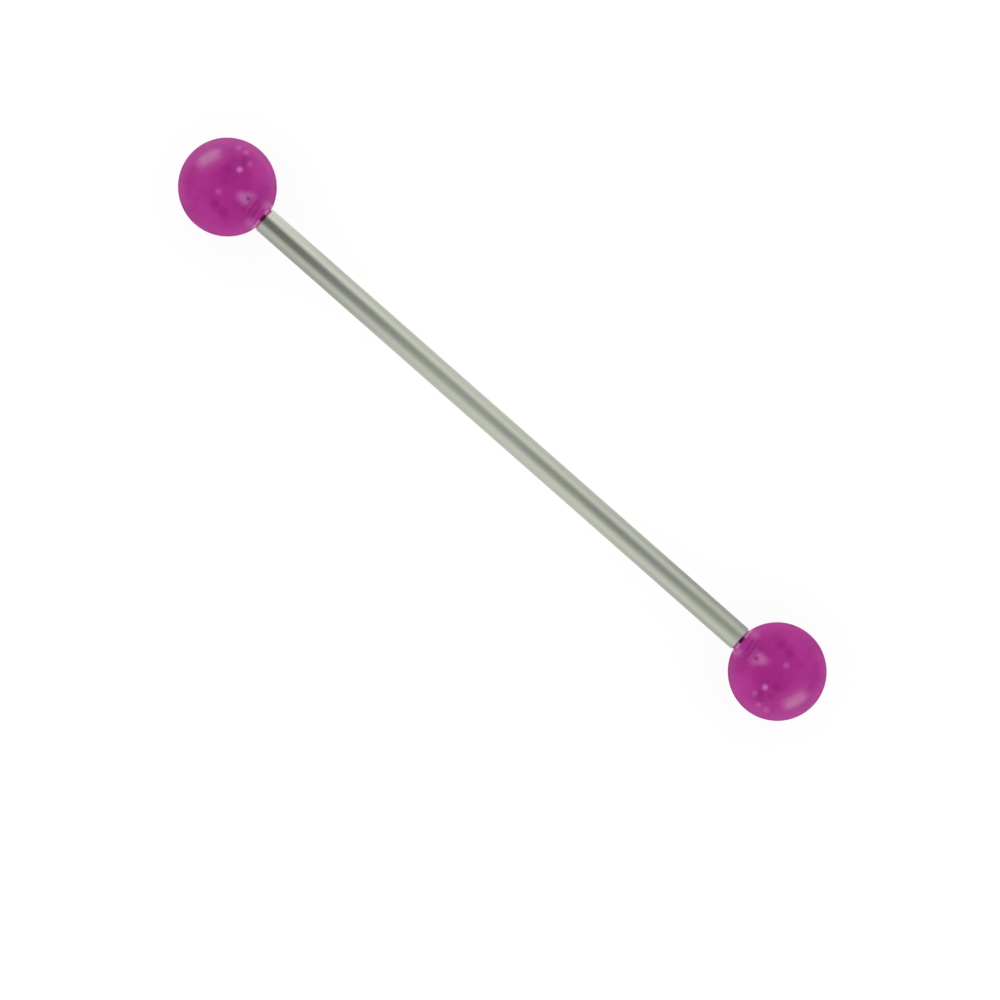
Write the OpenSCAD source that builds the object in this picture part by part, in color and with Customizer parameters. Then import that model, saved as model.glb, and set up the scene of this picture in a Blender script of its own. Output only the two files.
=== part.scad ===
/* [Bar] */
// Diameter of the bar
bar_d = 1.6; // [1.2:0.1:2]
// Length of bar that shows between the two balls
grip_l = 38.7; // [28:0.1:46]
// Bevel on the edge of each shoulder
shoulder_bevel = 0.12; // [0.05:0.01:0.12]

/* [Threaded posts] */
// Length of each post beyond the shoulder that stops the ball
post_l = 1.9; // [1.6:0.1:2.4]
// Distance that the thread moves along in one turn
pitch = 0.25; // [0.2:0.05:0.35]
// How far the thread's crest lies below the surface of the bar
crest_step = 0.2; // [0.15:0.01:0.25]
// Bare stretch between the shoulder and the thread
relief_l = 0.15; // [0.1:0.05:0.3]

/* [Balls] */
// Diameter of each ball
ball_d = 6; // [5:0.5:8]
// Gap all round between the thread's crest and the ball's bore
bore_gap = 0.02; // [0.02:0.01:0.03]
// Bevel on the rim of the bore, where the bar's shoulder butts on the ball
rim_bevel = 0.05; // [0.03:0.01:0.1]
// Free length of bore past the tip of the post
bore_spare = 0.4; // [0.2:0.1:0.5]

/* [Hidden] */
$fn = 96;
// The bar lies along X with its middle at the origin
bar_r = bar_d / 2;
ball_r = ball_d / 2;
crest_r = bar_r - crest_step;
// The bore's radius, and its rim's
bore_r = crest_r + bore_gap;
rim_r = bore_r + rim_bevel;
// From a ball's centre to the rim, which the bar's shoulder butts on
rim_reach = sqrt(ball_r * ball_r - rim_r * rim_r);
shoulder_x = grip_l / 2;
ball_x = shoulder_x + rim_reach;
tip_x = shoulder_x + post_l;
// The thread's profile, with 60 degree flanks
thread_h = 0.46 * pitch;
root_r = crest_r - thread_h;
crest_w = pitch / 7;
// The foot of the ridge is sunk into the core
foot_r = root_r - 0.04;
foot_w = crest_w + 2 * (crest_r - foot_r) * tan(30);
tip_bevel = 0.15;
// The thread's run along the post, cut into steps
turn_steps = 24;
thread_l = post_l - relief_l - tip_bevel - foot_w;
thread_steps = floor(thread_l / pitch * turn_steps);
thread_start = shoulder_x + relief_l + foot_w / 2;
// Steps over which the ridge rises at one end and dies away at the other
fade_steps = 18;
fade_least = 0.1;
// The blind bore ends near the ball's centre in a 118 degree drill point
bore_end = post_l + bore_spare - rim_reach;
drill_point = bore_r / tan(59);

// Share of its full height that the ridge has at a step
function rise(i) = max(fade_least, min(1, i / fade_steps, (thread_steps - i) / fade_steps));

// The ridge's cross-section at a step, two points in the core and two on the crest
function ridge_section(i) =
    let (
        x = thread_start + pitch * i / turn_steps,
        a = 360 * i / turn_steps,
        top_r = foot_r + (crest_r - foot_r) * rise(i),
        outline = [
            [-foot_w / 2, foot_r],
            [-crest_w / 2, top_r],
            [crest_w / 2, top_r],
            [foot_w / 2, foot_r],
        ]
    )
    [for (p = outline) [x + p[0], p[1] * cos(a), p[1] * sin(a)]];

// Two triangles between side j of section i and the same side of the next section
function ridge_side(i, j) =
    let (
        near = 4 * i + j,
        next = 4 * i + (j + 1) % 4
    )
    [[near, next, near + 4], [next, next + 4, near + 4]];

// The thread's ridge alone, a right-hand helix swept round the X axis
module thread_ridge() {
    last = 4 * thread_steps;
    points = [for (i = [0:thread_steps]) each ridge_section(i)];
    sides = [for (i = [0:thread_steps - 1], j = [0:3]) each ridge_side(i, j)];
    near_end = [[0, 2, 1], [0, 3, 2]];
    far_end = [[last, last + 1, last + 2], [last, last + 2, last + 3]];
    polyhedron(points = points, faces = concat(near_end, sides, far_end));
}

// The turned bar without its threads: shank, two shoulders and two posts
module turned_bar() {
    half = [
        [bar_r, shoulder_x - shoulder_bevel],
        [bar_r - shoulder_bevel, shoulder_x],
        [root_r, shoulder_x],
        [root_r, tip_x - tip_bevel],
        [root_r - tip_bevel, tip_x],
        [0, tip_x],
    ];
    other_half = [for (i = [len(half) - 1:-1:0]) [half[i][0], -half[i][1]]];
    rotate([0, 90, 0]) rotate_extrude() polygon(concat(half, other_half));
}

module bar() {
    color("#b9bbae") union() {
        turned_bar();
        for (turn = [0, 180]) rotate([0, 0, turn]) thread_ridge();
    }
}

// A ball on the +X end of the bar, with its threaded hole drawn plain.
// It is drawn on the Z axis, with its mouth below, and then turned onto the bar.
module ball() {
    color("#a3348a", 0.9) rotate([0, 90, 0]) translate([0, 0, ball_x]) difference() {
        sphere(d = ball_d);
        translate([0, 0, -ball_r]) cylinder(r = bore_r, h = ball_r + bore_end);
        translate([0, 0, -rim_reach - rim_bevel])
            cylinder(r1 = rim_r + rim_bevel, r2 = bore_r, h = 2 * rim_bevel);
        translate([0, 0, bore_end]) cylinder(r1 = bore_r, r2 = 0, h = drill_point);
    }
}

module left_ball() {
    rotate([0, 0, 180]) ball();
}

module right_ball() {
    ball();
}

bar();
left_ball();
right_ball();
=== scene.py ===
"""Looks of the industrial barbell: a polished steel bar with a magenta acrylic ball screwed on each end.

Meshes are drawn in millimetres, in the frame of the part: X along the bar from its middle, Z up.
"""

import logging
import math
from dataclasses import dataclass
from enum import Enum
from functools import reduce

import bmesh
import bpy
from mathutils import Matrix, Vector


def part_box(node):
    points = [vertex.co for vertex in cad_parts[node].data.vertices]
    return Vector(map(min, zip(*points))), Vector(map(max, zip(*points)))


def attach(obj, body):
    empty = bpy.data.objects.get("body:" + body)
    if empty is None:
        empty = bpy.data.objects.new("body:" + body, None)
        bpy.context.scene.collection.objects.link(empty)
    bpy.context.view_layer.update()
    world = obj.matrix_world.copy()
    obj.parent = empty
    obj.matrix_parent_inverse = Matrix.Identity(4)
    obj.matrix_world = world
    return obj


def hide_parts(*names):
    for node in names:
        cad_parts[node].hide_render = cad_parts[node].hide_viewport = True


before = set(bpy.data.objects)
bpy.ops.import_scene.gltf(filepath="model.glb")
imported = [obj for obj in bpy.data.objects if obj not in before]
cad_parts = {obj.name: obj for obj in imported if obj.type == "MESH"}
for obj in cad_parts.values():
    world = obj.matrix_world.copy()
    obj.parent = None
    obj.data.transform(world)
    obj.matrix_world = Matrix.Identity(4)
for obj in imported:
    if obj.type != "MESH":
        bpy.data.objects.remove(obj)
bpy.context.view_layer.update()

MM = 0.001
X_AXIS = Vector((1, 0, 0))
# Factors that leave of a place what lies across the bar, or what is seen from above
ACROSS_BAR = (0, 1, 1)
FROM_ABOVE = (1, 1, 0)
# A thread with 60 degree flanks, its height and the flat on its crest as shares of the pitch
FLANK_SLOPE = math.tan(math.radians(30))
THREAD_HEIGHT = 0.46
CREST_FLAT = 1 / 7
# Turns that a thread is drawn past its ends, before it is cut to length
SPARE_TURNS = 2
DRILL_HALF_ANGLE = math.radians(59)
ROUNDING_FACES = 4
MERGE_DISTANCE = 0.001
SHARP_EDGE = math.radians(28)

Socket = bpy.types.NodeSocket
Value = bpy.types.NodeSocket | float
Place = bpy.types.NodeSocket | tuple[float, float, float]
Colour = tuple[float, float, float, float]
Span = tuple[float, float]
Stops = tuple[tuple[float, float], ...]

logging.basicConfig(level=logging.INFO, format="%(message)s")
log = logging.getLogger("barbell")


class Side(Enum):
    """An end of the bar, with the turn about Z that puts a right-hand piece there."""

    LEFT = math.pi
    RIGHT = 0.0

    @property
    def sign(self) -> int:
        """Which way along X this end lies."""
        return -1 if self is Side.LEFT else 1

    @property
    def node(self) -> str:
        """Name of the ball's CAD node and body at this end."""
        return f"{self.name.lower()}_ball"


def boundary_loop(bm: bmesh.types.BMesh, x: float) -> list[bmesh.types.BMEdge]:
    """Open edges of a mesh that lie in one plane across the X axis.

    Args:
        bm: The mesh to look in.
        x: Where the plane cuts the X axis.

    Returns:
        The edges that have a single face and both ends in the plane.
    """
    return [
        edge
        for edge in bm.edges
        if edge.is_boundary and all(abs(v.co.x - x) < MERGE_DISTANCE for v in edge.verts)
    ]


def turn_profile(bm: bmesh.types.BMesh, profile: list[tuple[float, float]], steps: int) -> None:
    """Spins an open profile all the way round the X axis.

    Args:
        bm: The mesh that the turned surface goes into.
        profile: Places along X and radii, in order.
        steps: Number of faces round the axis.
    """
    verts = [bm.verts.new((x, r, 0)) for x, r in profile]
    edges = [bm.edges.new(pair) for pair in zip(verts, verts[1:])]
    bmesh.ops.spin(
        bm,
        geom=verts + edges,
        cent=(0, 0, 0),
        axis=X_AXIS,
        angle=math.tau,
        steps=steps,
        use_merge=True,
    )


def round_ring(bm: bmesh.types.BMesh, x: float, radius: float, offset: float) -> None:
    """Rounds a ring of edges round the X axis.

    Args:
        bm: The mesh that holds the ring.
        x: Where the ring lies along X.
        radius: The ring's radius.
        offset: How far the rounding reaches on either side.
    """
    ring = [
        edge
        for edge in bm.edges
        if all(
            abs(v.co.x - x) < MERGE_DISTANCE and abs(v.co.yz.length - radius) < MERGE_DISTANCE
            for v in edge.verts
        )
    ]
    bmesh.ops.bevel(
        bm,
        geom=ring,
        offset=offset,
        offset_type="OFFSET",
        segments=ROUNDING_FACES,
        profile=0.5,
        affect="EDGES",
        material=-1,
    )


def join_ends(bm: bmesh.types.BMesh, gaps: tuple[Span, ...]) -> None:
    """Closes the gaps between the open ends of turned surfaces, each with a band of faces.

    Args:
        bm: The mesh that holds the surfaces.
        gaps: The two places along X where each gap's ends lie.
    """
    for one, other in gaps:
        bmesh.ops.bridge_loops(bm, edges=boundary_loop(bm, one) + boundary_loop(bm, other))


def close_solid(bm: bmesh.types.BMesh) -> None:
    """Merges the doubles of a closed solid, points its faces outwards and shades it smooth.

    Args:
        bm: The solid's mesh, whose hard edges stay sharp.
    """
    bmesh.ops.remove_doubles(bm, verts=bm.verts, dist=MERGE_DISTANCE)
    bmesh.ops.recalc_face_normals(bm, faces=bm.faces)
    for face in bm.faces:
        face.smooth = True
    for edge in bm.edges:
        edge.smooth = edge.calc_face_angle(0) < SHARP_EDGE


def place_piece(bm: bmesh.types.BMesh, name: str, body: str, node: str) -> bpy.types.Object:
    """Makes a finished mesh an object that stands for a CAD node.

    Args:
        bm: The finished mesh, in millimetres and in place. It is freed.
        name: The piece's name.
        body: The CAD body that it rides on.
        node: The CAD node that it replaces.

    Returns:
        The new object, in metres.
    """
    bmesh.ops.scale(bm, vec=(MM, MM, MM), verts=bm.verts)
    open_edges = sum(1 for edge in bm.edges if not edge.is_manifold)
    mesh = bpy.data.meshes.new(name)
    bm.to_mesh(mesh)
    bm.free()
    piece = bpy.data.objects.new(name, mesh)
    bpy.context.scene.collection.objects.link(piece)
    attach(piece, body)
    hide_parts(node)
    log.info("%s: %d faces, %d open edges, on %s", name, len(mesh.polygons), open_edges, body)
    return piece


class NodeGraph:
    """A node tree that is filled one node at a time."""

    def __init__(self, tree: bpy.types.NodeTree) -> None:
        """Takes over a tree and empties it."""
        self.tree = tree
        tree.nodes.clear()

    def add(self, kind: str, inputs: dict | None = None, **settings: object) -> bpy.types.Node:
        """Adds a node, gives its settings and fills its inputs.

        Args:
            kind: The node's Blender type.
            inputs: Plain values or output sockets, by the input's name or number.
            settings: The node's own properties.

        Returns:
            The new node.
        """
        node = self.tree.nodes.new(kind)
        for name, value in settings.items():
            setattr(node, name, value)
        for key, value in (inputs or {}).items():
            if isinstance(value, Socket):
                self.tree.links.new(value, node.inputs[key])
            else:
                node.inputs[key].default_value = value
        return node

    def math(self, operation: str, *values: Value) -> Socket:
        """Result of a Math node on one, two or three values."""
        return self.add("ShaderNodeMath", dict(enumerate(values)), operation=operation).outputs[0]

    def chain(self, operation: str, *values: Value) -> Socket:
        """Result of a Math operation of two values on a row of them, from the first to the last."""
        return reduce(lambda result, value: self.math(operation, result, value), values)

    def vector(self, operation: str, *values: Place) -> Socket:
        """Result of a Vector Math node, which for a distance or a length is a number."""
        node = self.add("ShaderNodeVectorMath", dict(enumerate(values)), operation=operation)
        return node.outputs["Value" if operation in ("DISTANCE", "LENGTH") else "Vector"]

    def axes(self, place: Socket) -> dict[str, Socket]:
        """The X, Y and Z of a place or a direction."""
        return dict(self.add("ShaderNodeSeparateXYZ", {0: place}).outputs.items())

    def ramp(self, value: Value, span: tuple[Value, Value], start: Value, end: Value) -> Socket:
        """Smooth step from one number to another.

        Args:
            value: The number that drives the step.
            span: The values between which the step lies.
            start: The result up to the first of them.
            end: The result from the second one on.

        Returns:
            The stepped number.
        """
        inputs = {
            "Value": value,
            "From Min": span[0],
            "From Max": span[1],
            "To Min": start,
            "To Max": end,
        }
        return self.add("ShaderNodeMapRange", inputs, interpolation_type="SMOOTHSTEP").outputs[0]

    def line(self, value: Value, reach: float) -> Socket:
        """Straight run from 0, where value is minus the reach, to 1, where it is the reach."""
        inputs = {"Value": value, "From Min": -reach, "From Max": reach}
        return self.add("ShaderNodeMapRange", inputs).outputs[0]

    def mix(self, factor: Value, first: Socket | Colour, second: Socket | Colour) -> Socket:
        """Mix of two colours."""
        inputs = {0: factor, 6: first, 7: second}
        return self.add("ShaderNodeMix", inputs, data_type="RGBA").outputs[2]

    def blend(self, factor: Value, first: Value, second: Value) -> Socket:
        """Mix of two numbers."""
        inputs = {0: factor, 2: first, 3: second}
        return self.add("ShaderNodeMix", inputs, data_type="FLOAT").outputs[0]

    def curve(self, value: Value, stops: Stops) -> Socket:
        """Number that follows value smoothly through given stops.

        Args:
            value: A number from 0 to 1.
            stops: Pairs of such a number and the result there, in order.

        Returns:
            The number between the two nearest stops.
        """
        node = self.add("ShaderNodeValToRGB", {0: value})
        node.color_ramp.interpolation = "EASE"
        elements = node.color_ramp.elements
        for element, (place, level) in zip(elements, (stops[0], stops[-1])):
            element.position = place
            element.color = (level, level, level, 1)
        for place, level in stops[1:-1]:
            elements.new(place).color = (level, level, level, 1)
        return node.outputs["Color"]

    def noise(self, place: Socket, scale: float, detail: float) -> Socket:
        """Noise from 0 to 1 round a mean of one half."""
        inputs = {"Vector": place, "Scale": scale, "Detail": detail}
        return self.add("ShaderNodeTexNoise", inputs).outputs[0]

    def bump(self, height: Socket, strength: float, depth: float) -> Socket:
        """Direction of a surface that a height from 0 to 1 raises by up to a depth in metres."""
        inputs = {"Height": height, "Strength": strength, "Distance": depth}
        return self.add("ShaderNodeBump", inputs).outputs[0]

    def surface(self, shader: bpy.types.Node) -> None:
        """Ends a material with its shader."""
        self.add("ShaderNodeOutputMaterial", {"Surface": shader.outputs[0]})


def new_material(name: str) -> tuple[bpy.types.Material, NodeGraph]:
    """Makes a material with an empty graph.

    Args:
        name: The material's name.

    Returns:
        The material and its graph.
    """
    material = bpy.data.materials.new(name)
    material.use_nodes = True
    return material, NodeGraph(material.node_tree)


@dataclass
class ScrewThread:
    """A right-hand thread round the X axis: one helical band whose turns meet edge to edge."""

    pitch: float
    wall_r: float
    crest_r: float
    crest_w: float
    ridge_x: float
    start_x: float
    end_x: float
    runout: float
    turn_steps: int = 64

    def profile(self) -> list[tuple[float, float]]:
        """One pitch of the thread, as places along X and radii, with the ridge in its middle."""
        flank_w = abs(self.crest_r - self.wall_r) * FLANK_SLOPE
        half_crest = self.crest_w / 2
        return [
            (-self.pitch / 2, self.wall_r),
            (-half_crest - flank_w, self.wall_r),
            (-half_crest, self.crest_r),
            (half_crest, self.crest_r),
            (half_crest + flank_w, self.wall_r),
            (self.pitch / 2, self.wall_r),
        ]

    def rise(self, x: float) -> float:
        """Share of its full height that the ridge has at a place along X."""
        return max(0.0, min(1.0, (x - self.start_x) / self.runout, (self.end_x - x) / self.runout))

    def cut(self, bm: bmesh.types.BMesh) -> None:
        """Draws the thread into an empty mesh, from start_x to end_x, open at both ends.

        Args:
            bm: The mesh, which holds nothing else yet.
        """
        turns_back = math.ceil((self.ridge_x - self.start_x) / self.pitch) + SPARE_TURNS
        first = self.ridge_x - turns_back * self.pitch
        turns = math.ceil((self.end_x - first) / self.pitch) + SPARE_TURNS
        verts = [bm.verts.new((first + x, r, 0)) for x, r in self.profile()]
        edges = [bm.edges.new(pair) for pair in zip(verts, verts[1:])]
        steps = turns * self.turn_steps
        bmesh.ops.spin(
            bm,
            geom=verts + edges,
            cent=(0, 0, 0),
            axis=X_AXIS,
            dvec=(self.pitch / self.turn_steps, 0, 0),
            angle=turns * math.tau,
            steps=steps,
            use_merge=False,
        )
        bmesh.ops.remove_doubles(bm, verts=bm.verts, dist=MERGE_DISTANCE)
        for x, outwards in ((self.start_x, -X_AXIS), (self.end_x, X_AXIS)):
            bmesh.ops.bisect_plane(
                bm,
                geom=bm.verts[:] + bm.edges[:] + bm.faces[:],
                plane_co=(x, 0, 0),
                plane_no=outwards,
                clear_outer=True,
            )
        for vert in bm.verts:
            radius = vert.co.yz.length
            wanted = self.wall_r + (radius - self.wall_r) * self.rise(vert.co.x)
            vert.co.yz *= wanted / radius


@dataclass
class Bar:
    """The steel bar: a round shank with a shoulder and a threaded post at each end, one piece of metal."""

    radius: float
    tip_x: float
    shoulder_x: float = 19.35
    shoulder_bevel: float = 0.12
    shoulder_round: float = 0.03
    relief_l: float = 0.15
    pitch: float = 0.25
    crest_step: float = 0.2
    tip_bevel: float = 0.15
    turned_steps: int = 128
    join_gap: float = 0.02

    @property
    def post_l(self) -> float:
        """Length of the post beyond the shoulder that stops a ball."""
        return self.tip_x - self.shoulder_x

    @property
    def crest_r(self) -> float:
        """Radius of the thread's crest."""
        return self.radius - self.crest_step

    @property
    def root_r(self) -> float:
        """Radius of the thread's root."""
        return self.crest_r - THREAD_HEIGHT * self.pitch

    @property
    def crest_w(self) -> float:
        """Width of the flat on the thread's crest."""
        return CREST_FLAT * self.pitch

    @property
    def ridge_x(self) -> float:
        """A place where the thread's ridge crosses the +Y side of the post."""
        return self.shoulder_x + self.relief_l + self.pitch / 2

    def thread(self) -> ScrewThread:
        """The thread on the right-hand post."""
        return ScrewThread(
            pitch=self.pitch,
            wall_r=self.root_r,
            crest_r=self.crest_r,
            crest_w=self.crest_w,
            ridge_x=self.ridge_x,
            start_x=self.shoulder_x + self.relief_l,
            end_x=self.tip_x - self.tip_bevel,
            runout=self.pitch,
        )

    def half(self) -> bmesh.types.BMesh:
        """Draws the bar from its middle to its right-hand tip, open at the middle.

        Returns:
            The mesh of this half.
        """
        bm = bmesh.new()
        thread = self.thread()
        thread.cut(bm)
        root_end = thread.start_x - self.join_gap
        tip_start = thread.end_x + self.join_gap
        tip_r = self.root_r - self.tip_bevel + self.join_gap
        bevel_start = self.shoulder_x - self.shoulder_bevel
        shank = [
            (0, self.radius),
            (bevel_start - 2 * self.shoulder_round, self.radius),
            (bevel_start, self.radius),
            (self.shoulder_x, self.radius - self.shoulder_bevel),
            (self.shoulder_x, self.root_r),
            (root_end, self.root_r),
        ]
        tip = [(tip_start, self.root_r), (self.tip_x, tip_r), (self.tip_x, 0)]
        turn_profile(bm, shank, self.turned_steps)
        round_ring(bm, bevel_start, self.radius, self.shoulder_round)
        turn_profile(bm, tip, self.turned_steps)
        join_ends(bm, ((root_end, thread.start_x), (thread.end_x, tip_start)))
        return bm

    def model(self) -> bpy.types.Object:
        """Draws the whole bar: the half, and the same half turned round, so that both threads are right-hand.

        Returns:
            The bar's object.
        """
        bm = self.half()
        copied = bmesh.ops.duplicate(bm, geom=bm.verts[:] + bm.edges[:] + bm.faces[:])["geom"]
        turned = [item for item in copied if isinstance(item, bmesh.types.BMVert)]
        bmesh.ops.rotate(bm, verts=turned, cent=(0, 0, 0), matrix=Matrix.Rotation(math.pi, 3, "Z"))
        close_solid(bm)
        return place_piece(bm, "steel_bar", "bar", "bar")


@dataclass
class Ball:
    """A screwed-on acrylic ball with an internal thread, whose rim stops at the bar's shoulder."""

    side: Side
    radius: float
    centre_x: float
    bar: Bar
    thread_gap: float = 0.02
    rim_bevel: float = 0.05
    rim_round: float = 0.02
    bore_spare: float = 0.4
    arc_steps: int = 72
    turned_steps: int = 160

    @property
    def rim_x(self) -> float:
        """Where the rim lies along X, with the right ball's centre as origin."""
        return self.bar.shoulder_x - self.centre_x

    def thread(self) -> ScrewThread:
        """The ball's internal thread, half a pitch off the post's, with the right ball's centre as origin."""
        return ScrewThread(
            pitch=self.bar.pitch,
            wall_r=self.bar.crest_r + self.thread_gap,
            crest_r=self.bar.root_r + self.thread_gap,
            crest_w=self.bar.crest_w,
            ridge_x=self.bar.ridge_x + self.bar.pitch / 2 - self.centre_x,
            start_x=self.rim_x + self.bar.relief_l,
            end_x=self.rim_x + self.bar.post_l + self.bore_spare,
            runout=self.bar.pitch,
        )

    def outside(self, bm: bmesh.types.BMesh, inner_x: float, inner_r: float) -> None:
        """Turns the sphere, its rim and the start of the bore.

        Args:
            bm: The mesh that they go into.
            inner_x: Where the bore's plain start ends, along X.
            inner_r: Radius of the bore.
        """
        rim_r = inner_r + self.rim_bevel
        rim_angle = math.pi - math.asin(rim_r / self.radius)
        angles = [rim_angle * i / self.arc_steps for i in range(self.arc_steps + 1)]
        arc = [(self.radius * math.cos(a), self.radius * math.sin(a)) for a in angles]
        rim_x = arc[-1][0]
        bore = [(rim_x + self.rim_bevel, inner_r), (inner_x, inner_r)]
        turn_profile(bm, arc + bore, self.turned_steps)
        round_ring(bm, rim_x, rim_r, self.rim_round)

    def model(self) -> bpy.types.Object:
        """Draws the ball round the origin as a right-hand one, and then turns it to its own end of the bar.

        Returns:
            The ball's object.
        """
        bm = bmesh.new()
        thread = self.thread()
        thread.cut(bm)
        seat_join = thread.start_x - self.bar.join_gap
        drill_join = thread.end_x + self.bar.join_gap
        drill_point = thread.wall_r / math.tan(DRILL_HALF_ANGLE)
        self.outside(bm, seat_join, thread.wall_r)
        drill = [(drill_join, thread.wall_r), (drill_join + drill_point, 0)]
        turn_profile(bm, drill, self.turned_steps)
        join_ends(bm, ((seat_join, thread.start_x), (thread.end_x, drill_join)))
        close_solid(bm)
        bmesh.ops.translate(bm, verts=bm.verts, vec=(self.centre_x, 0, 0))
        turn = Matrix.Rotation(self.side.value, 3, "Z")
        bmesh.ops.rotate(bm, verts=bm.verts, cent=(0, 0, 0), matrix=turn)
        return place_piece(bm, f"acrylic_{self.side.node}", self.side.node, self.side.node)


@dataclass(frozen=True)
class PolishedSteel:
    """Lengthwise-polished surgical steel with a faint green-grey cast, darker and rougher in the roots of the
    threads.

    Noise scales are per metre, and the depth of the polishing lines is in metres.
    """

    colour: Colour = (0.74, 0.775, 0.665, 1)
    root_colour: Colour = (0.34, 0.35, 0.31, 1)
    roughness: float = 0.13
    roughness_swing: float = 0.07
    root_roughness: float = 0.4
    smudge_scale: float = 260.0
    line_stretch: tuple[float, float, float] = (0.03, 1, 1)
    line_scale: float = 4200.0
    line_strength: float = 0.12
    line_depth: float = 0.00001
    noise_detail: float = 3.0

    def make(self, bar: Bar) -> bpy.types.Material:
        """Builds the material.

        Args:
            bar: The bar that wears it, for the size of its thread.

        Returns:
            The new material.
        """
        material, graph = new_material("polished_steel")
        place = graph.add("ShaderNodeTexCoord").outputs["Object"]
        from_axis = graph.vector("LENGTH", graph.vector("MULTIPLY", place, ACROSS_BAR))
        # 0 in the thread roots, where the steel is darker and rougher, and 1 on the crests
        polished = graph.ramp(from_axis, (bar.root_r * MM, bar.crest_r * MM), 0, 1)
        stretched = graph.vector("MULTIPLY", place, self.line_stretch)
        lines = graph.noise(stretched, self.line_scale, self.noise_detail)
        smudges = graph.noise(place, self.smudge_scale, self.noise_detail)
        roughness = graph.math("MULTIPLY_ADD", smudges, self.roughness_swing, self.roughness)
        shader = graph.add(
            "ShaderNodeBsdfPrincipled",
            {
                "Base Color": graph.mix(polished, self.root_colour, self.colour),
                "Metallic": 1.0,
                "Roughness": graph.blend(polished, self.root_roughness, roughness),
                "Normal": graph.bump(lines, self.line_strength, self.line_depth),
            },
        )
        graph.surface(shader)
        return material


@dataclass(frozen=True)
class FleckOrGlow:
    """A round spot on the acrylic, charted from above in ball radii: towards the mouth, and across. Most are
    inclusions; the two pale ones beside the mouth are painted glow.
    """

    along: float
    across: float
    size: float
    strength: float


# Pale spots: inclusions, a paler patch partway to the mouth, and painted glow beside the mouth
BRIGHT_FLECKS_AND_GLOWS = (
    FleckOrGlow(0.05, 0.41, 0.09, 0.60),
    FleckOrGlow(-0.29, 0.73, 0.10, 0.20),
    FleckOrGlow(-0.11, 0.76, 0.09, 0.22),
    FleckOrGlow(0.11, 0.64, 0.09, 0.20),
    FleckOrGlow(0.03, -0.20, 0.10, 0.22),
    # A paler patch partway to the mouth, drawn as four broad spots
    FleckOrGlow(0.42, 0.03, 0.16, 0.22),
    FleckOrGlow(0.50, 0.06, 0.19, 0.22),
    FleckOrGlow(0.57, 0.16, 0.17, 0.20),
    FleckOrGlow(0.59, -0.01, 0.15, 0.18),
    # Painted light: a pale glow either side of the mouth, where light comes through the acrylic's edge
    FleckOrGlow(0.90, 0.24, 0.15, 0.24),
    FleckOrGlow(0.88, -0.25, 0.16, 0.22),
)
DARK_INCLUSIONS = (
    FleckOrGlow(-0.05, 0.64, 0.13, 0.50),
    FleckOrGlow(0.02, 0.56, 0.12, 0.50),
    FleckOrGlow(-0.16, 0.48, 0.11, 0.50),
    FleckOrGlow(-0.13, 0.27, 0.17, 0.55),
    FleckOrGlow(0.12, -0.42, 0.14, 0.60),
    FleckOrGlow(0.36, -0.45, 0.17, 0.55),
    FleckOrGlow(-0.64, -0.19, 0.12, 0.40),
    FleckOrGlow(0.56, 0.09, 0.08, 0.80),
    FleckOrGlow(-0.01, 0.03, 0.13, 0.30),
    FleckOrGlow(0.62, -0.10, 0.11, 0.55),
    FleckOrGlow(0.96, 0.23, 0.05, 0.80),
)


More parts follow.
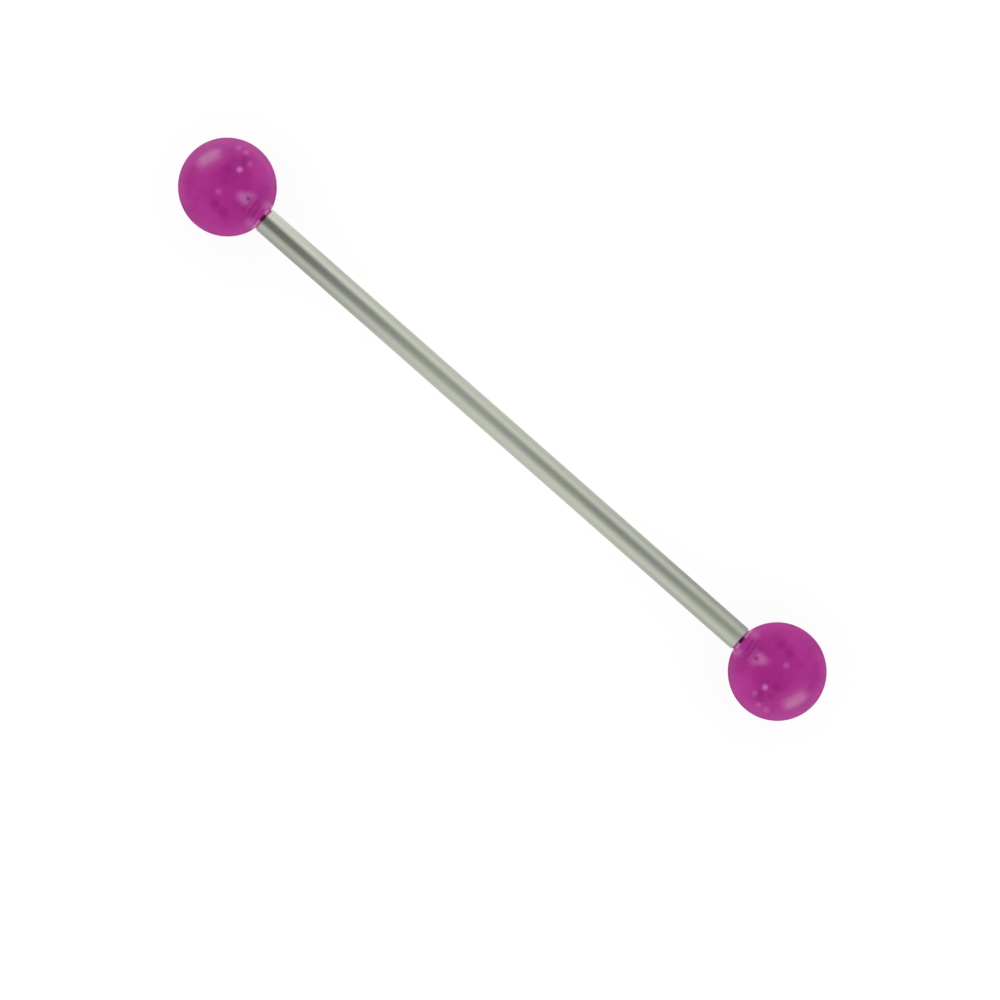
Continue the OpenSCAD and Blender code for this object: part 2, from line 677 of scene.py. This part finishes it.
@dataclass(frozen=True)
class MagentaAcrylic:
    """Cloudy magenta acrylic with small inclusions, with painted marks near the mouth: painted lines of the
    thread seen through it, painted shade of the bore, and a painted glow round the mouth.

    Places and widths on the ball are in ball radii, with X towards the mouth, and depths are in metres.
    """

    deep: Colour = (0.350, 0.014, 0.218, 1)
    light: Colour = (0.400, 0.024, 0.256, 1)
    cloud_scale: float = 1.9
    cloud_detail: float = 3.0
    cloud_span: Span = (0.35, 0.65)
    upper_half: Span = (0.0, 0.2)
    # Colour of the dark inclusions, and of the painted lines of the thread seen through the acrylic
    dark_fleck_and_streak: Colour = (0.245, 0.003, 0.142, 1)
    # Colour of the pale inclusions, and of the painted glow beside the mouth
    pale_fleck_and_glow: Colour = (0.640, 0.270, 0.540, 1)
    fleck_core: float = 0.01
    mouth_span: Span = (0.928, 0.966)
    # Painted shade: the dark of the shaded bore, seen through the top of the mouth, which the transmission
    # below also lets show for real
    bore_shade_tint: Colour = (0.205, 0.001, 0.118, 1)
    bore_half_width: Span = (0.03, 0.1)
    bore_clear: float = 0.25
    # Painted light: a pale pink glow round the mouth, standing for light that comes through the acrylic's
    # edge
    glow_ring_tint: Colour = (0.880, 0.300, 0.680, 1)
    glow_ring_gap: Span = (0.04, 0.12)
    glow_ring_strength: float = 0.82
    # The painted lines that stand for the thread seen through the acrylic
    streak_sides: int = 3
    streak_half_width: Span = (0.15, 0.27)
    streak_run_in: Span = (0.56, 0.68)
    streak_run_out: Span = (0.84, 0.9)
    streak_tail: float = 0.3
    streak_start: float = 0.611
    streak_spacing: float = 0.0925
    streak_lean: float = 0.1
    streak_bend: float = 0.3
    streak_wander: float = 0.03
    wander_scale: float = 9.0
    streak_line: Span = (-0.8, 0.7)
    streak_strength: float = 0.75
    patchy_scale: float = 7.0
    patchy_span: Span = (0.38, 0.6)
    patchy_least: float = 0.5
    ripple_scale: float = 2.6
    ripple_detail: float = 2.0
    ripple_strength: float = 0.15
    ripple_depth: float = 0.0001
    roughness: float = 0.27
    roughness_swing: float = 0.1
    limb_span: Span = (0.45, 0.9)
    limb_roughness: float = 0.4
    refraction: float = 1.49
    specular: float = 0.18
    scatter: float = 0.35
    scatter_by_colour: tuple[float, float, float] = (1.0, 0.25, 0.6)
    scatter_depth: float = 0.0012

    def on_ball(self, graph: NodeGraph, ball: Ball) -> Socket:
        """Place on the ball.

        Args:
            graph: The material's graph.
            ball: The ball that wears it.

        Returns:
            The place in ball radii from the ball's centre, with X towards the mouth.
        """
        radius = ball.radius * MM
        inputs = {
            "Vector": graph.add("ShaderNodeTexCoord").outputs["Object"],
            "Location": (ball.side.sign * ball.centre_x * MM, 0, 0),
            "Rotation": (0, 0, ball.side.value + math.pi),
            "Scale": (radius, radius, radius),
        }
        return graph.add("ShaderNodeMapping", inputs, vector_type="TEXTURE").outputs[0]

    def flecks_and_glows(self, graph: NodeGraph, local: Socket, above: Socket, chart: tuple[FleckOrGlow, ...]) -> Socket:
        """Mask of the charted spots, inclusions and painted glow, on the ball's upper half.

        Args:
            graph: The material's graph.
            local: Place on the ball.
            above: 1 on the upper half and 0 on the lower one.
            chart: The spots: inclusions, and painted glow.

        Returns:
            Their strength at each place.
        """
        flat = graph.vector("MULTIPLY", local, FROM_ABOVE)
        masks = []
        for spot in chart:
            away = graph.vector("DISTANCE", flat, (spot.along, spot.across, 0))
            masks.append(graph.ramp(away, (self.fleck_core, spot.size), spot.strength, 0))
        return graph.math("MULTIPLY", graph.chain("ADD", *masks), above)

    def off_side(self, graph: NodeGraph, axes: dict[str, Socket]) -> Socket:
        """Distance round the bar from the ball's top or one of its two lower sides.

        Args:
            graph: The material's graph.
            axes: Place on the ball, by axis.

        Returns:
            The distance from the nearest of the three, positive the way that the thread advances.
        """
        half_sector = math.pi / self.streak_sides
        angle = graph.math("ARCTAN2", graph.math("MULTIPLY", axes["Y"], -1.0), axes["Z"])
        wrapped = graph.math("WRAP", angle, half_sector, -half_sector)
        reach = graph.math("SQRT", graph.math("SUBTRACT", 1.0, graph.math("POWER", axes["X"], 2.0)))
        return graph.math("MULTIPLY", graph.math("SINE", wrapped), reach)

    def streaks(self, graph: NodeGraph, local: Socket, axes: dict[str, Socket]) -> Socket:
        """Painted dark curved lines where the thread shows through the acrylic, on three sides of it.

        Args:
            graph: The material's graph.
            local: Place on the ball.
            axes: The same place, by axis.

        Returns:
            The lines' strength at each place.
        """
        aside = self.off_side(graph, axes)
        off_middle = graph.math("ABSOLUTE", aside)
        over_thread = graph.ramp(off_middle, self.streak_half_width, 1, 0)
        begins = graph.ramp(axes["X"], self.streak_run_in, 0, 1)
        ends = graph.ramp(axes["X"], self.streak_run_out, 1, self.streak_tail)
        patches = graph.noise(local, self.patchy_scale, 1)
        patchy = graph.ramp(patches, self.patchy_span, self.patchy_least, 1)
        lean = graph.math("MULTIPLY", aside, self.streak_lean)
        bend = graph.math("MULTIPLY", graph.math("POWER", off_middle, 2.0), self.streak_bend)
        wander = graph.math("MULTIPLY", graph.noise(local, self.wander_scale, 1), self.streak_wander)
        along = graph.chain("SUBTRACT", axes["X"], lean, bend, wander, self.streak_start)
        turns = graph.math("DIVIDE", along, self.streak_spacing)
        wave = graph.math("COSINE", graph.math("MULTIPLY", turns, math.tau))
        line = graph.ramp(wave, self.streak_line, 0, self.streak_strength)
        return graph.chain("MULTIPLY", over_thread, begins, ends, patchy, line)

    def mouth(self, graph: NodeGraph, axes: dict[str, Socket], above: Socket) -> tuple[Socket, Socket]:
        """Painted light and shade at the mouth: painted shade of the dark bore, seen through the ball's top,
        and a painted glowing pale ring elsewhere.

        Args:
            graph: The material's graph.
            axes: Place on the ball, by axis.
            above: 1 on the upper half and 0 on the lower one.

        Returns:
            The strength of the painted bore shade, and of the painted glow ring.
        """
        at_mouth = graph.ramp(axes["X"], self.mouth_span, 0, 1)
        off_top = graph.math("ABSOLUTE", axes["Y"])
        # Painted shade of the bore, on the top of the mouth
        bore = graph.chain("MULTIPLY", at_mouth, above, graph.ramp(off_top, self.bore_half_width, 1, 0))
        # Painted glow ring, on the rest of the mouth
        gap = graph.math("MULTIPLY", above, graph.ramp(off_top, self.glow_ring_gap, 1, 0))
        beside = graph.math("SUBTRACT", 1.0, gap)
        ring = graph.chain("MULTIPLY", at_mouth, self.glow_ring_strength, beside)
        return bore, ring

    def roughness_at(self, graph: NodeGraph, ripple: Socket) -> Socket:
        """Roughness, which swings with the ripple and rises towards the ball's outline.

        Args:
            graph: The material's graph.
            ripple: Noise over the ball.

        Returns:
            The roughness.
        """
        facing = graph.add("ShaderNodeLayerWeight", {"Blend": 0.5}).outputs["Facing"]
        limb = graph.ramp(facing, self.limb_span, 0, self.limb_roughness)
        body = graph.math("MULTIPLY_ADD", ripple, self.roughness_swing, self.roughness)
        return graph.math("ADD", body, limb)

    def make(self, ball: Ball) -> bpy.types.Material:
        """Builds the material for one ball.

        Args:
            ball: The ball that wears it.

        Returns:
            The new material.
        """
        material, graph = new_material(f"magenta_acrylic_{ball.side.name.lower()}")
        local = self.on_ball(graph, ball)
        axes = graph.axes(local)
        above = graph.ramp(axes["Z"], self.upper_half, 0, 1)
        cloud = graph.ramp(graph.noise(local, self.cloud_scale, self.cloud_detail), self.cloud_span, 0, 1)
        pale = self.flecks_and_glows(graph, local, above, BRIGHT_FLECKS_AND_GLOWS)
        dark = self.flecks_and_glows(graph, local, above, DARK_INCLUSIONS)
        # The painted see-through lines of the thread join the dark inclusions
        dark = graph.math("MAXIMUM", dark, self.streaks(graph, local, axes))
        bore, ring = self.mouth(graph, axes, above)
        colour = graph.mix(cloud, self.deep, self.light)
        # Pale inclusions, and painted glow beside the mouth
        colour = graph.mix(pale, colour, self.pale_fleck_and_glow)
        # Painted glow ring round the mouth
        colour = graph.mix(ring, colour, self.glow_ring_tint)
        colour = graph.mix(dark, colour, self.dark_fleck_and_streak)
        # Painted shade of the bore over the mouth's top, which is partly see-through as well
        colour = graph.mix(bore, colour, self.bore_shade_tint)
        ripple = graph.noise(local, self.ripple_scale, self.ripple_detail)
        shader = graph.add(
            "ShaderNodeBsdfPrincipled",
            {
                "Base Color": colour,
                "Roughness": self.roughness_at(graph, ripple),
                "IOR": self.refraction,
                "Specular IOR Level": self.specular,
                "Subsurface Weight": self.scatter,
                "Subsurface Radius": self.scatter_by_colour,
                "Subsurface Scale": self.scatter_depth,
                "Transmission Weight": graph.math("MULTIPLY", bore, self.bore_clear),
                "Normal": graph.bump(ripple, self.ripple_strength, self.ripple_depth),
            },
        )
        graph.surface(shader)
        return material


@dataclass
class Studio:
    """A plain pale floor, a soft dome with a darker patch overhead, and a camera straight above the bar.

    Lengths are in millimetres. Angles round the bar are in degrees from straight up, positive towards +Y.
    A row of stops gives a level, or an edge, at places from 0 at the bar's left-hand end to 1 at the right.
    """

    floor_z: float
    floor_half: float = 600.0
    floor_squares: int = 8
    floor_grey: float = 0.16
    floor_glow: float = 0.86
    floor_shade: float = 0.7
    floor_reach: float = 20.0
    floor_crossing: float = 2.0
    lens: float = 135.0
    sensor: float = 36.0
    clip: Span = (10.0, 10000.0)
    image_px: float = 1000.0
    px_per_mm: float = 16.447
    bar_slope: float = math.radians(41.39)
    bar_middle_px: tuple[float, float] = (502.31, 429.33)
    mirror_reach: float = 0.1
    mirror_fade: Span = (0.13, 0.35)
    near_levels: Stops = ((0.03, 0.64), (0.15, 0.66), (0.3, 0.88), (0.65, 0.92), (0.78, 0.84), (0.87, 0.75))
    far_levels: Stops = ((0.0, 1.12), (0.12, 0.87), (0.4, 0.93), (0.68, 0.85), (0.78, 0.77), (0.87, 0.6))
    far_low_angles: Span = (60.0, 95.0)
    far_low_level: float = 0.86
    sides_meet: float = 10.0
    patch_levels: Stops = (
        (0.03, 0.0),
        (0.07, 0.08),
        (0.13, 0.33),
        (0.2, 0.55),
        (0.3, 0.62),
        (0.39, 0.8),
        (0.49, 0.64),
        (0.59, 0.0),
        (0.68, 0.08),
        (0.78, 0.46),
        (0.86, 0.54),
    )
    # The patch's near edge, as a share of patch_edge_range past patch_edge_start
    patch_edges: Stops = ((0.03, 0.14), (0.15, 0.14), (0.45, 0.43), (0.6, 0.26), (0.85, 0.5))
    patch_edge_range: float = 100.0
    patch_edge_start: float = -30.0
    patch_near_angle: float = -56.0
    patch_far_angles: Span = (14.0, 58.0)
    plain_levels: Stops = ((0.0, 0.95), (0.3, 0.85), (0.55, 0.4), (0.8, 0.25), (1.0, 0.3))
    soft_levels: Span = (1.6, 1.1)
    backdrop_level: float = 1.24
    panel_direction: tuple[float, float, float] = (0.95, -0.29, 0.03)
    panel_size: tuple[float, float] = (28.0, 34.0)
    panel_reach: float = 40.0
    panel_level: float = 8.0

    def side_levels(self, graph: NodeGraph, along: Socket) -> tuple[Socket, Socket]:
        """Brightness of the two long sides of the studio, as the polished steel mirrors them.

        Args:
            graph: The graph of the world or of the floor.
            along: Place along the bar, from 0 at the left-hand end to 1 at the right-hand end.

        Returns:
            The level on the -Y side and on the +Y side.
        """
        return graph.curve(along, self.near_levels), graph.curve(along, self.far_levels)

    def floor_material(self) -> bpy.types.Material:
        """A pale, matt, faintly glowing surface, which the steel mirrors as the studio's two sides.

        Returns:
            The new material.
        """
        material, graph = new_material("pale_floor")
        ray = graph.add("ShaderNodeLightPath").outputs
        axes = graph.axes(graph.add("ShaderNodeTexCoord").outputs["Object"])
        near, far = self.side_levels(graph, graph.line(axes["X"], self.floor_reach * MM))
        crossing = self.floor_crossing * MM
        side = graph.ramp(axes["Y"], (-crossing, crossing), 0, 1)
        mirrored = graph.math("MULTIPLY", graph.blend(side, near, far), self.floor_shade)
        grey = (self.floor_grey, self.floor_grey, self.floor_grey, 1)
        matt = graph.add("ShaderNodeBsdfDiffuse", {"Color": grey})
        glow = graph.add("ShaderNodeEmission", {"Strength": self.floor_glow})
        plain = graph.add("ShaderNodeAddShader", {0: matt.outputs[0], 1: glow.outputs[0]})
        sheen = graph.add("ShaderNodeEmission", {"Strength": mirrored})
        shader = graph.add(
            "ShaderNodeMixShader",
            {0: ray["Is Glossy Ray"], 1: plain.outputs[0], 2: sheen.outputs[0]},
        )
        graph.surface(shader)
        return material

    def floor(self) -> None:
        """Lays the floor, on which the balls leave only a faint shade."""
        bm = bmesh.new()
        squares = self.floor_squares
        bmesh.ops.create_grid(bm, x_segments=squares, y_segments=squares, size=self.floor_half * MM)
        bmesh.ops.translate(bm, verts=bm.verts, vec=(0, 0, self.floor_z * MM))
        mesh = bpy.data.meshes.new("floor")
        bm.to_mesh(mesh)
        bm.free()
        mesh.materials.append(self.floor_material())
        floor = bpy.data.objects.new("floor", mesh)
        bpy.context.scene.collection.objects.link(floor)
        log.info("floor at %.3f mm", self.floor_z)

    def patch(self, graph: NodeGraph, around: Socket, along: Socket) -> Socket:
        """Mask of the darker patch overhead.

        Args:
            graph: The world's graph.
            around: Angle round the bar, in radians.
            along: Place along the bar, from 0 to 1.

        Returns:
            1 inside the patch and 0 outside it, with soft edges.
        """
        edge = graph.curve(along, self.patch_edges)
        degrees = graph.math("MULTIPLY_ADD", edge, self.patch_edge_range, self.patch_edge_start)
        near_end = graph.math("RADIANS", degrees)
        near_edge = graph.ramp(around, (math.radians(self.patch_near_angle), near_end), 0, 1)
        far_edge = graph.ramp(around, tuple(math.radians(angle) for angle in self.patch_far_angles), 1, 0)
        return graph.math("MULTIPLY", near_edge, far_edge)

    def mirrored_level(self, graph: NodeGraph, axes: dict[str, Socket]) -> Socket:
        """Brightness of the dome as glossy surfaces mirror it.

        Args:
            graph: The world's graph.
            axes: Direction into the dome, by axis.

        Returns:
            The bar's bands in the directions square to it, and a plain dome in the others.
        """
        around = graph.math("ARCTAN2", axes["Y"], axes["Z"])
        along = graph.line(axes["X"], self.mirror_reach)
        near, far = self.side_levels(graph, along)
        low_angles = tuple(math.radians(angle) for angle in self.far_low_angles)
        far = graph.math("MULTIPLY", far, graph.ramp(around, low_angles, 1, self.far_low_level))
        on_far_side = graph.math("GREATER_THAN", around, math.radians(self.sides_meet))
        sides = graph.blend(on_far_side, near, far)
        overhead = graph.curve(along, self.patch_levels)
        bands = graph.blend(self.patch(graph, around, along), sides, overhead)
        beyond = graph.ramp(graph.math("ABSOLUTE", axes["X"]), self.mirror_fade, 0, 1)
        return graph.blend(beyond, bands, graph.curve(axes["Z"], self.plain_levels))

    def dome(self) -> None:
        """Lights the scene from all round, and gives the polished steel its bands to mirror."""
        world = bpy.data.worlds.new("soft_dome")
        bpy.context.scene.world = world
        world.use_nodes = True
        graph = NodeGraph(world.node_tree)
        axes = graph.axes(graph.add("ShaderNodeTexCoord").outputs["Generated"])
        ray = graph.add("ShaderNodeLightPath").outputs
        soft = graph.ramp(axes["Z"], (0, 1), *self.soft_levels)
        level = graph.blend(ray["Is Glossy Ray"], soft, self.mirrored_level(graph, axes))
        level = graph.blend(ray["Is Camera Ray"], level, self.backdrop_level)
        background = graph.add("ShaderNodeBackground", {"Strength": level})
        graph.add("ShaderNodeOutputWorld", {"Surface": background.outputs[0]})
        log.info("soft dome")

    def panel(self, piece: bpy.types.Object, ball: Ball) -> None:
        """Hangs a soft panel beyond one end of the bar, which only the ball there mirrors.

        Args:
            piece: The ball's object.
            ball: The ball's sizes and side.
        """
        away = Vector(self.panel_direction).normalized() * ball.side.sign
        away.z = abs(away.z)
        centre = Vector((ball.side.sign * ball.centre_x, 0, 0))
        data = bpy.data.lights.new(f"panel_{ball.side.name.lower()}", "AREA")
        data.shape = "RECTANGLE"
        data.size, data.size_y = (size * MM for size in self.panel_size)
        data.energy = self.panel_level * math.pi * data.size * data.size_y
        panel = bpy.data.objects.new(data.name, data)
        panel.location = (centre + away * self.panel_reach) * MM
        panel.rotation_euler = (-away).to_track_quat("-Z", "Y").to_euler()
        panel.visible_camera = False
        panel.visible_diffuse = False
        panel.visible_transmission = False
        bpy.context.scene.collection.objects.link(panel)
        lit = bpy.data.collections.new(f"lit_by_{data.name}")
        lit.objects.link(piece)
        panel.light_linking.receiver_collection = lit
        log.info("%s at %.0f mm from the ball", data.name, self.panel_reach)

    def camera(self) -> None:
        """Hangs the camera straight above, turned so that the bar slopes down to the right."""
        data = bpy.data.cameras.new("camera")
        data.lens = self.lens
        data.sensor_width = self.sensor
        data.clip_start, data.clip_end = (distance * MM for distance in self.clip)
        camera = bpy.data.objects.new("camera", data)
        bpy.context.scene.collection.objects.link(camera)
        distance = self.image_px * self.lens / self.sensor / self.px_per_mm
        right = Vector((math.cos(self.bar_slope), math.sin(self.bar_slope), 0))
        up = Vector((-right.y, right.x, 0))
        half = self.image_px / 2
        shift_right = (half - self.bar_middle_px[0]) / self.px_per_mm
        shift_up = (self.bar_middle_px[1] - half) / self.px_per_mm
        place = right * shift_right + up * shift_up + Vector((0, 0, distance))
        camera.location = place * MM
        camera.rotation_euler = (0, 0, self.bar_slope)
        bpy.context.scene.camera = camera
        log.info("camera %.1f mm above the bar", distance)

    def build(self) -> None:
        """Makes the camera, the floor and the light."""
        self.camera()
        self.floor()
        self.dome()
        bpy.context.scene.view_settings.view_transform = "Standard"


def main() -> None:
    """Builds the camera, the light and the three pieces, sized from the CAD parts."""
    # The CAD's facets fall a few micrometres short of the true radii, so its boxes are rounded
    bar_box = [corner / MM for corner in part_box("bar")]
    ball_box = [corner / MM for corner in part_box("right_ball")]
    ball_r = round(ball_box[1].z, 1)
    studio = Studio(floor_z=-ball_r)
    studio.build()
    bar = Bar(radius=round(bar_box[1].z, 2), tip_x=round(bar_box[1].x, 3))
    bar.model().data.materials.append(PolishedSteel().make(bar))
    for side in Side:
        ball = Ball(side=side, radius=ball_r, centre_x=ball_box[1].x - ball_r, bar=bar)
        piece = ball.model()
        piece.data.materials.append(MagentaAcrylic().make(ball))
        studio.panel(piece, ball)


if __name__ == "__main__":
    main()
